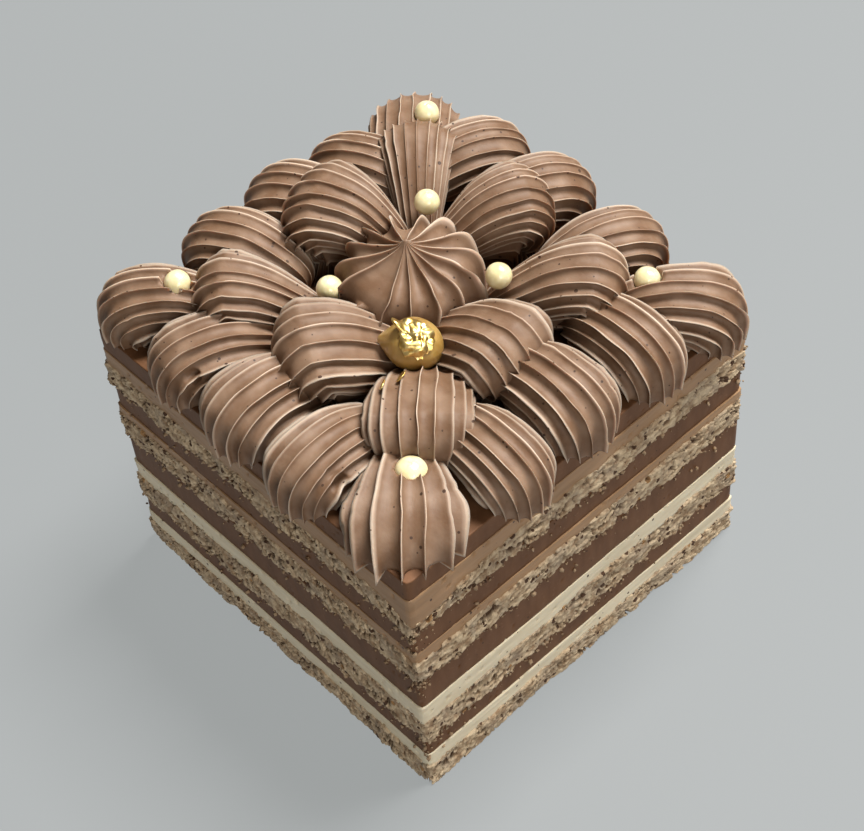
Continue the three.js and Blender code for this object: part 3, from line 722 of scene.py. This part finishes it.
BUTTERCREAM = (0.152, 0.082, 0.044)
BUTTERCREAM_PALE = (0.24, 0.152, 0.098)
# Pale tan painted along the fin crests as a highlight.
FIN_HIGHLIGHT = (0.60, 0.475, 0.37)
DARK_SPECK = (0.06, 0.03, 0.017)

buttercream, tree, shader = new_material(
    "chocolate_buttercream", 0.58,
    Subsurface_Weight=0.25, Subsurface_Radius=(1.0, 0.55, 0.35), Subsurface_Scale=0.001,
    Specular_IOR_Level=0.35,
)
crest_highlight_mask = add_node(buttercream, "ShaderNodeAttribute", attribute_name="crest").outputs["Fac"]
piped = tint(tree, BUTTERCREAM, BUTTERCREAM_PALE, noise_of(tree, 170, 3), 0.35, 0.7)
# Painted highlight: the crests of the fins are turned toward a pale tan.
piped = tint(tree, piped, FIN_HIGHLIGHT, crest_highlight_mask, 0.48, 1.0, 0.75)
piped = mix_colours(tree, speck_mask(buttercream, 900, 0.27, 0.15), piped, DARK_SPECK)
piped = mix_colours(tree, speck_mask(buttercream, 480, 0.24, 0.12), piped, DARK_SPECK)
finish_surface(tree, shader, piped, noise_of(tree, 1300, 4), 0.00006)

for number, (name, measures) in enumerate(SHELLS.items()):
    rings, crests = shell_rings(*measures, 3000 + 10 * number)
    if name in CURL_HOLES:
        rings = sink_curl(rings, CURL_HOLES[name])
    shell = smooth_piece("piped_" + name, buttercream, *closed_rings(rings), {"crest": crests})
    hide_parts(name)

# --------------------------------------------------------------- centre rosette
# The same nozzle held upright over the middle: the cream swells into a flat-topped ball of fifteen
# petals, turned slightly, and is pulled off in a short soft peak. One fin broke off part way.

ROSETTE = {"x": -3.6, "y": 1.4, "radius": 17.3, "height": 20.6, "teeth": 15}
ROSETTE_ROWS = 110
ROSETTE_DEPTH = 0.21
# How far the fins start and how far they turn on the way up, and how deep the valleys sag on top,
# as a share of the height.
ROSETTE_START, ROSETTE_TWIST = 0.3, np.radians(20)
ROSETTE_SAG = 0.09
# Height and radius along the outline, as shares of the whole.
OUTLINE_PLACES = [0, 0.12, 0.25, 0.38, 0.5, 0.62, 0.74, 0.85, 0.93, 1]
OUTLINE_RISE = [0, 0.16, 0.38, 0.585, 0.71, 0.775, 0.82, 0.87, 0.925, 1.0]
OUTLINE_SPREAD = [0.86, 0.96, 1.0, 0.96, 0.86, 0.69, 0.47, 0.25, 0.1, 0.012]
# The fin that broke off, and where along the outline it fades.
BROKEN_FIN = 10
BROKEN_FROM, BROKEN_TO = 0.36, 0.42


def rosette_rings():
    """Rings up the rosette. Height and radius follow one smooth outline from the foot over the
    shoulder and up a hollow slope to the peak, the fins turn with the height, and each wavers."""
    t = np.linspace(0, 1, ROSETTE_ROWS)[:, None]
    rise = smooth_table(t, OUTLINE_PLACES, OUTLINE_RISE)
    spread = smooth_table(t, OUTLINE_PLACES, OUTLINE_SPREAD)
    angle, fin, tooth = fin_profile(ROSETTE["teeth"], 51)
    place = tooth / ROSETTE["teeth"]
    waver = wander(place, t * 7, ROSETTE["teeth"], 52)
    fin = fin * np.where(tooth == BROKEN_FIN, ease(t, BROKEN_TO, BROKEN_FROM), 1.0)
    angle = angle + 0.09 * wander(place, 0.5, ROSETTE["teeth"], 54) * np.sqrt(fin)
    # The crest also marks where the material paints a highlight along the fins.
    crest = fin**1.5
    swell = 1 - ROSETTE_DEPTH * (1 - fin * (1 + 0.1 * waver))
    bent = angle + ROSETTE_TWIST * rise + crest * 0.04 * waver + ROSETTE_START
    radius = ROSETTE["radius"] * spread * swell
    sag = ROSETTE_SAG * ROSETTE["height"] * (1 - fin) * ease(t, 0.15, 0.5) * ease(1 - t, 0.03, 0.3)
    x = ROSETTE["x"] + radius * np.cos(bent)
    y = ROSETTE["y"] + radius * np.sin(bent)
    z = CAKE_TOP + ROSETTE["height"] * rise - sag
    return press_in(np.stack([x, y, z], -1)), crest


rings, crests = rosette_rings()
skin = closed_rings(rings)
rosette = smooth_piece("piped_centre_rosette", buttercream, *skin, {"crest": crests})
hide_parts("centre_rosette")

# ----------------------------------------------------------------------- pearls
# Seven crunchy cereal pearls in a glossy cream-coloured coat, set by hand in the hollows between
# the shells. They are tumbled in a pan, so each is a little out of round. The front one is oval.

PEARL_COUNT = 7
PEARL_ROWS, PEARL_STEPS = 24, 36
PEARL_STRETCH = {"pearl_1": 1.14}
PEARL_LUMPS = 0.025
# The last ring of a ball stands at this angle, in degrees.
POLE = 88
PEARL_DEEP, PEARL_PALE = (0.72, 0.62, 0.34), (0.82, 0.75, 0.47)


def ball_rings(rows, columns):
    """Rings of a unit ball from its south pole to its north pole, and the angles lift and turn of
    their points. The poles are left open for closed_rings."""
    lift = np.radians(np.linspace(-POLE, POLE, rows))[:, None]
    turn = np.linspace(0, 2 * np.pi, columns, endpoint=False)[None]
    lift, turn = np.broadcast_arrays(lift, turn)
    across = np.cos(lift)
    return np.stack([across * np.cos(turn), across * np.sin(turn), np.sin(lift)], -1), lift, turn


pearl_coat, tree, shader = new_material(
    "pearl_coat", 0.28, Coat_Weight=0.6, Coat_Roughness=0.08,
    Subsurface_Weight=0.25, Subsurface_Radius=(1.0, 0.8, 0.4), Subsurface_Scale=0.001,
)
coat = tint(tree, PEARL_DEEP, PEARL_PALE, noise_of(tree, 420, 2), 0.35, 0.7)
finish_surface(tree, shader, coat, noise_of(tree, 700, 1), 0.0001)

for number in range(1, PEARL_COUNT + 1):
    name = f"pearl_{number}"
    middle, half = middle_and_half(name)
    ball, _, _ = ball_rings(PEARL_ROWS, PEARL_STEPS)
    turn = np.arange(PEARL_STEPS) / PEARL_STEPS
    lumps = wander(turn[None], np.arange(PEARL_ROWS)[:, None] / 6, 6, 60 + number)
    stretch = PEARL_STRETCH.get(name, 1.0)
    ball = ball * (half[0] * (1 + PEARL_LUMPS * lumps))[..., None]
    ball = ball * np.array([stretch, stretch, 1 / stretch])
    pearl = smooth_piece("crunchy_" + name, pearl_coat, *closed_rings(ball + middle))
    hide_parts(name)

# --------------------------------------------------------------------- hazelnut
# One whole roasted hazelnut, peeled and glazed, laid on its side against the rosette with its blunt
# point to the left. The glaze makes it glossy and amber, darker where the skin clung.

NUT_MIDDLE, _ = middle_and_half("hazelnut")
NUT_RADIUS = 5.6
NUT_LENGTH = 6.5
NUT_AIM = np.radians(-150)
NUT_ROWS, NUT_STEPS = 50, 80
# How much slimmer the nut is toward its point, and how far the point stands out, as shares.
NUT_TAPER = 0.3
NUT_POINT = 0.16
AMBER_DEEP, AMBER, SCORCHED = (0.30, 0.165, 0.034), (0.47, 0.31, 0.098), (0.2, 0.09, 0.018)


def nut_surface(lift, turn):
    """Points of the nut at angles lift and turn about its own axis: a ball drawn out to a blunt
    point, with shallow ribs along it, laid level along its aim."""
    forward = np.clip(np.sin(lift), 0, 1)
    ribs = 1 + 0.012 * np.sin(turn * 5 + 1) + 0.008 * np.sin(turn * 11)
    across = NUT_RADIUS * (1 - NUT_TAPER * forward**2) * ribs * np.cos(lift)
    length = NUT_LENGTH * np.sin(lift) * (1 + NUT_POINT * forward**9)
    side, height = across * np.cos(turn), across * np.sin(turn)
    x = length * np.cos(NUT_AIM) - side * np.sin(NUT_AIM)
    y = length * np.sin(NUT_AIM) + side * np.cos(NUT_AIM)
    return NUT_MIDDLE + np.stack([x, y, height], -1)


glazed_nut, tree, shader = new_material(
    "glazed_hazelnut", 0.32, Coat_Weight=0.5, Coat_Roughness=0.15,
    Subsurface_Weight=0.2, Subsurface_Radius=(1.0, 0.6, 0.25), Subsurface_Scale=0.0015,
)
amber = tint(tree, AMBER_DEEP, AMBER, noise_of(tree, 150, 3), 0.35, 0.7)
amber = tint(tree, amber, SCORCHED, noise_of(tree, 420, 4), 0.6, 0.75, 0.6)
finish_surface(tree, shader, amber, noise_of(tree, 380, 3), 0.0002)

_, lift, turn = ball_rings(NUT_ROWS, NUT_STEPS)
rings = nut_surface(lift, turn)[:, ::-1]
nut = smooth_piece("glazed_nut", glazed_nut, *closed_rings(rings))
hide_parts("hazelnut")

# -------------------------------------------------------------------- gold leaf
# A scrap of edible gold leaf pressed over the nut with a dry brush. It is far thinner than paper,
# so it crumples into sharp facets, tears at its edge, and a loose tag of it stands up. Two flecks
# fell on the shell in front.

LEAF_FACING = np.array([0.47, -0.18, 0.86])
LEAF_SIZE = (3.3, 4.1)
LEAF_GRID, FLECK_GRID = (60, 140), (8, 20)
# How high the broad and the fine creases stand, and how far over the nut the leaf's two skins lie.
BROAD_CREASE, FINE_CREASE = 0.75, 0.3
SKIN_OVER, SKIN_UNDER, FLECK_UNDER = 0.12, 0.04, 0.05
FOIL_DEEP, FOIL_PALE = (0.72, 0.46, 0.11), (1.0, 0.80, 0.36)
# The loose tag of the leaf: where it stands round the rim, how far it lifts, and how wide it is.
TAG_TURN, TAG_RISE, TAG_WIDTH = 0.36, 2.4, 0.035
# The flecks: a spot near the skin of the shell they lie on, and their two half sizes.
FLECK_SHELL = "piped_inner_shell_front_right"
FLECKS = [(17.9, -23.1, 89.6, 1.6, 0.9), (18.8, -24.7, 89.6, 1.3, 0.7)]


def torn_scrap(size, seed, grid):
    """A torn crumpled scrap as a disc of rings about its middle. Returns the two flat coordinates,
    the rise of the creases, which are sharp where value noise crosses 0, and the turn and ring."""
    turn = np.arange(grid[1])[None] / grid[1]
    out = np.linspace(0.04, 1, grid[0])[:, None]
    torn = 1 + 0.2 * wander(turn, 0.5, 6, seed) + 0.15 * wander(turn, 0.5, 17, seed + 1)
    torn = torn + 0.07 * wander(turn, 0.5, 47, seed + 2)
    u = size[0] * out * torn * np.cos(2 * np.pi * turn)
    v = size[1] * out * torn * np.sin(2 * np.pi * turn)
    rise = BROAD_CREASE * np.abs(wander(u / 64 + 0.5, v / 2.4 + 30, 26, seed + 3))
    rise = rise + FINE_CREASE * np.abs(wander(u / 64 + 0.5, v / 1.3 + 30, 50, seed + 4))
    return u, v, rise, turn, out


def directions_over(facing):
    """Three directions at right angles: to the side, upward, and the given one."""
    facing = facing / np.linalg.norm(facing)
    side = np.cross([0.0, 0.0, 1.0], facing)
    side = side / np.linalg.norm(side)
    return side, np.cross(facing, side), facing


def drape_leaf(seed):
    """The scrap on the nut: each point is pushed out along the ray from the nut's middle to just
    over the nut's skin, plus the creases and the tag. A second, inner skin closes it."""
    side, upward, facing = directions_over(LEAF_FACING)
    u, v, rise, turn, out = torn_scrap(LEAF_SIZE, seed, LEAF_GRID)
    past = (turn - TAG_TURN) / TAG_WIDTH
    rise = rise + TAG_RISE * ease(out, 0.55, 1.0) * np.exp(-(past**2))
    aside = np.minimum(u**2 + v**2, NUT_RADIUS**2 * 0.8)
    reach = np.sqrt(np.clip(NUT_RADIUS**2 - aside, 0.5, None))
    ray = u[..., None] * side + v[..., None] * upward + reach[..., None] * facing
    ray = ray / np.linalg.norm(ray, axis=-1, keepdims=True)
    lengthwise = np.abs(ray @ np.array([np.cos(NUT_AIM), np.sin(NUT_AIM), 0.0]))
    skin = 1 / np.sqrt((lengthwise / NUT_LENGTH) ** 2 + (1 - lengthwise**2) / NUT_RADIUS**2)
    over = NUT_MIDDLE + ray * (skin + SKIN_OVER + rise)[..., None]
    under = NUT_MIDDLE + ray * (skin + SKIN_UNDER + rise * 0.9)[..., None]
    return np.concatenate([under, over[::-1]])


def lay_fleck(spot, size, seed):
    """A small scrap on the shell, at the point of its skin nearest to the spot, lying flat."""
    shell = bpy.data.objects[FLECK_SHELL].data
    skin, normals = np.zeros((2, len(shell.vertices), 3))
    shell.vertices.foreach_get("co", skin.ravel())
    shell.vertex_normals.foreach_get("vector", normals.ravel())
    nearest = np.argmin(np.linalg.norm(skin / MM - spot, axis=1))
    side, upward, facing = directions_over(normals[nearest])
    u, v, rise, _, _ = torn_scrap(size, seed, FLECK_GRID)
    flat = skin[nearest] / MM + u[..., None] * side + v[..., None] * upward
    over = flat + facing * (SKIN_OVER + 0.5 * rise)[..., None]
    return np.concatenate([flat + facing * FLECK_UNDER, over[::-1]])


gold, tree, shader = new_material("gold_leaf", 0.36, Metallic=1.0)
foil = tint(tree, FOIL_DEEP, FOIL_PALE, noise_of(tree, 700, 3), 0.35, 0.65)
finish_surface(tree, shader, foil, noise_of(tree, 700, 2), 0.0001)

leaf = smooth_piece("gold_leaf_scrap", gold, *closed_rings(drape_leaf(71)))
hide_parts("gold_leaf")
for number, (*spot, long, short) in enumerate(FLECKS, 1):
    rings = lay_fleck(spot, (long, short), 80 + number)
    fleck = smooth_piece(f"gold_fleck_{number}", gold, *closed_rings(rings))

# ----------------------------------------------------------------------- crumbs
# Crumbs of sponge and chopped nut that the knife dragged down the cut sides. Most cling just under
# the foot of a sponge, a few further down the ganache, and they gather at the front corner.

CRUMB_COUNT = 1800
# Seams under the three upper sponges, which the crumbs fall from, and how far they fall, in mm:
# usually, further at the corner, and at most.
CRUMB_SEAMS = [3, 6, 9]
CRUMB_DROP, CORNER_DROP, LONGEST_DROP = 1.1, 2.5, 6
CRUMB_SMALL, CRUMB_LARGE, CRUMB_LUMPS = 0.12, 0.62, 0.38
# The share of them at the front corner, and how far they spread from it, in turns.
CORNER_SHARE, CORNER_SPREAD = 0.07, 0.006


def crumb_cloud(seed):
    """Points and faces of all the crumbs: one small ball, repeated with its own size, turn,
    stretch and dents, each half sunk in the cut side."""
    rng = np.random.default_rng(seed)
    ball, quads, triangles = closed_rings(ball_rings(4, 6)[0])
    under = rng.choice(CRUMB_SEAMS, CRUMB_COUNT)
    turn = rng.random(CRUMB_COUNT)
    at_corner = rng.random(CRUMB_COUNT) < CORNER_SHARE
    turn = np.where(at_corner, FRONT_CORNER + rng.normal(0, CORNER_SPREAD, CRUMB_COUNT), turn)
    size = CRUMB_SMALL + (CRUMB_LARGE - CRUMB_SMALL) * rng.random(CRUMB_COUNT) ** 3
    drop = rng.exponential(CRUMB_DROP, CRUMB_COUNT) * np.where(at_corner, CORNER_DROP, 1.0) - 0.2
    seams = [seam_line(turn, seam) for seam in CRUMB_SEAMS]
    level = np.select([under == seam for seam in CRUMB_SEAMS], seams)
    x, y, _ = on_square(turn)
    out = HALF_SIDE + 0.35 * size
    middle = np.stack([x * out, y * out, level - np.minimum(drop, LONGEST_DROP)], -1)
    spin = rng.normal(0, 1, (CRUMB_COUNT, 3, 3))
    spin = np.linalg.qr(spin)[0] * rng.uniform(0.6, 1.25, (CRUMB_COUNT, 1, 3))
    lumps = 1 + rng.uniform(-CRUMB_LUMPS, CRUMB_LUMPS, (CRUMB_COUNT, len(ball), 1))
    points = middle[:, None] + np.einsum("nij,pj->npi", spin, ball) * lumps * size[:, None, None]
    shift = (np.arange(CRUMB_COUNT) * len(ball))[:, None, None]
    return points.reshape(-1, 3), (quads + shift).reshape(-1, 4), (triangles + shift).reshape(-1, 3)


crumbs = smooth_piece("dragged_crumbs", sponge_material, *crumb_cloud(90))

# ----------------------------------------------------------- floor and lighting
# A plain pale floor that glows a little, so that shade leaves it pale, one soft window of light
# high up and a little behind, and a weak wide fill from the right.

FLOOR_COLOUR, FLOOR_GLOW, GLOW_STRENGTH = (0.045, 0.0478, 0.0505), (0.95, 1.0, 1.0), 0.34
ROOM_COLOUR, ROOM_STRENGTH = (1.0, 0.87, 0.70), 0.13
LIGHTS_AIM = Vector((0, 0, 0.05))

bpy.ops.mesh.primitive_plane_add(size=6)
floor = bpy.context.active_object
floor.name = "floor"
pale_floor, _, _ = new_material(
    "pale_floor", 0.7, Base_Color=(*FLOOR_COLOUR, 1),
    Emission_Color=(*FLOOR_GLOW, 1), Emission_Strength=GLOW_STRENGTH,
)
floor.data.materials.append(pale_floor)


def soft_light(name, place, size, power, colour):
    """A square area light at a place, turned to the cake."""
    data = bpy.data.lights.new(name, "AREA")
    data.shape, data.size, data.energy, data.color = "SQUARE", size, power, colour
    lamp = bpy.data.objects.new(name, data)
    lamp.location = place
    lamp.rotation_euler = (LIGHTS_AIM - Vector(place)).to_track_quat("-Z", "Y").to_euler()
    bpy.context.scene.collection.objects.link(lamp)


soft_light("window", (0.12, 1.0, 2.15), 1.0, 119.0, (1.0, 0.985, 0.96))
soft_light("fill", (2.1, -0.9, 1.3), 1.2, 31.0, (1.0, 0.97, 0.93))
world = bpy.data.worlds.new("room")
world.use_nodes = True
world.node_tree.nodes["Background"].inputs["Color"].default_value = (*ROOM_COLOUR, 1)
world.node_tree.nodes["Background"].inputs["Strength"].default_value = ROOM_STRENGTH
bpy.context.scene.world = world
bpy.context.scene.view_settings.view_transform = "Standard"

# ----------------------------------------------------------------------- camera
# The photograph's view: from the right of the front corner, looking down at the cake.

CAMERA_AZIMUTH = np.radians(50.83)
CAMERA_ELEVATION = np.radians(48.12)
CAMERA_ROLL = np.radians(-5.63)
CAMERA_PLACE = (0.21685, -0.17555, 0.35291)
FOCAL_PIXELS = 1826.38
FRAME_WIDTH = 864
SENSOR_WIDTH = 36

back = Vector((
    np.sin(CAMERA_AZIMUTH) * np.cos(CAMERA_ELEVATION),
    -np.cos(CAMERA_AZIMUTH) * np.cos(CAMERA_ELEVATION),
    np.sin(CAMERA_ELEVATION),
))
level = Vector((np.cos(CAMERA_AZIMUTH), np.sin(CAMERA_AZIMUTH), 0))
right = level * np.cos(CAMERA_ROLL) + back.cross(level) * np.sin(CAMERA_ROLL)
camera_data = bpy.data.cameras.new("camera")
camera_data.sensor_fit = "HORIZONTAL"
camera_data.sensor_width = SENSOR_WIDTH
camera_data.lens = SENSOR_WIDTH * FOCAL_PIXELS / FRAME_WIDTH
camera_data.clip_start = 0.01
camera = bpy.data.objects.new("camera", camera_data)
axes = Matrix((right, back.cross(right), back)).transposed()
camera.matrix_world = Matrix.Translation(CAMERA_PLACE) @ axes.to_4x4()
bpy.context.scene.collection.objects.link(camera)
bpy.context.scene.camera = camera
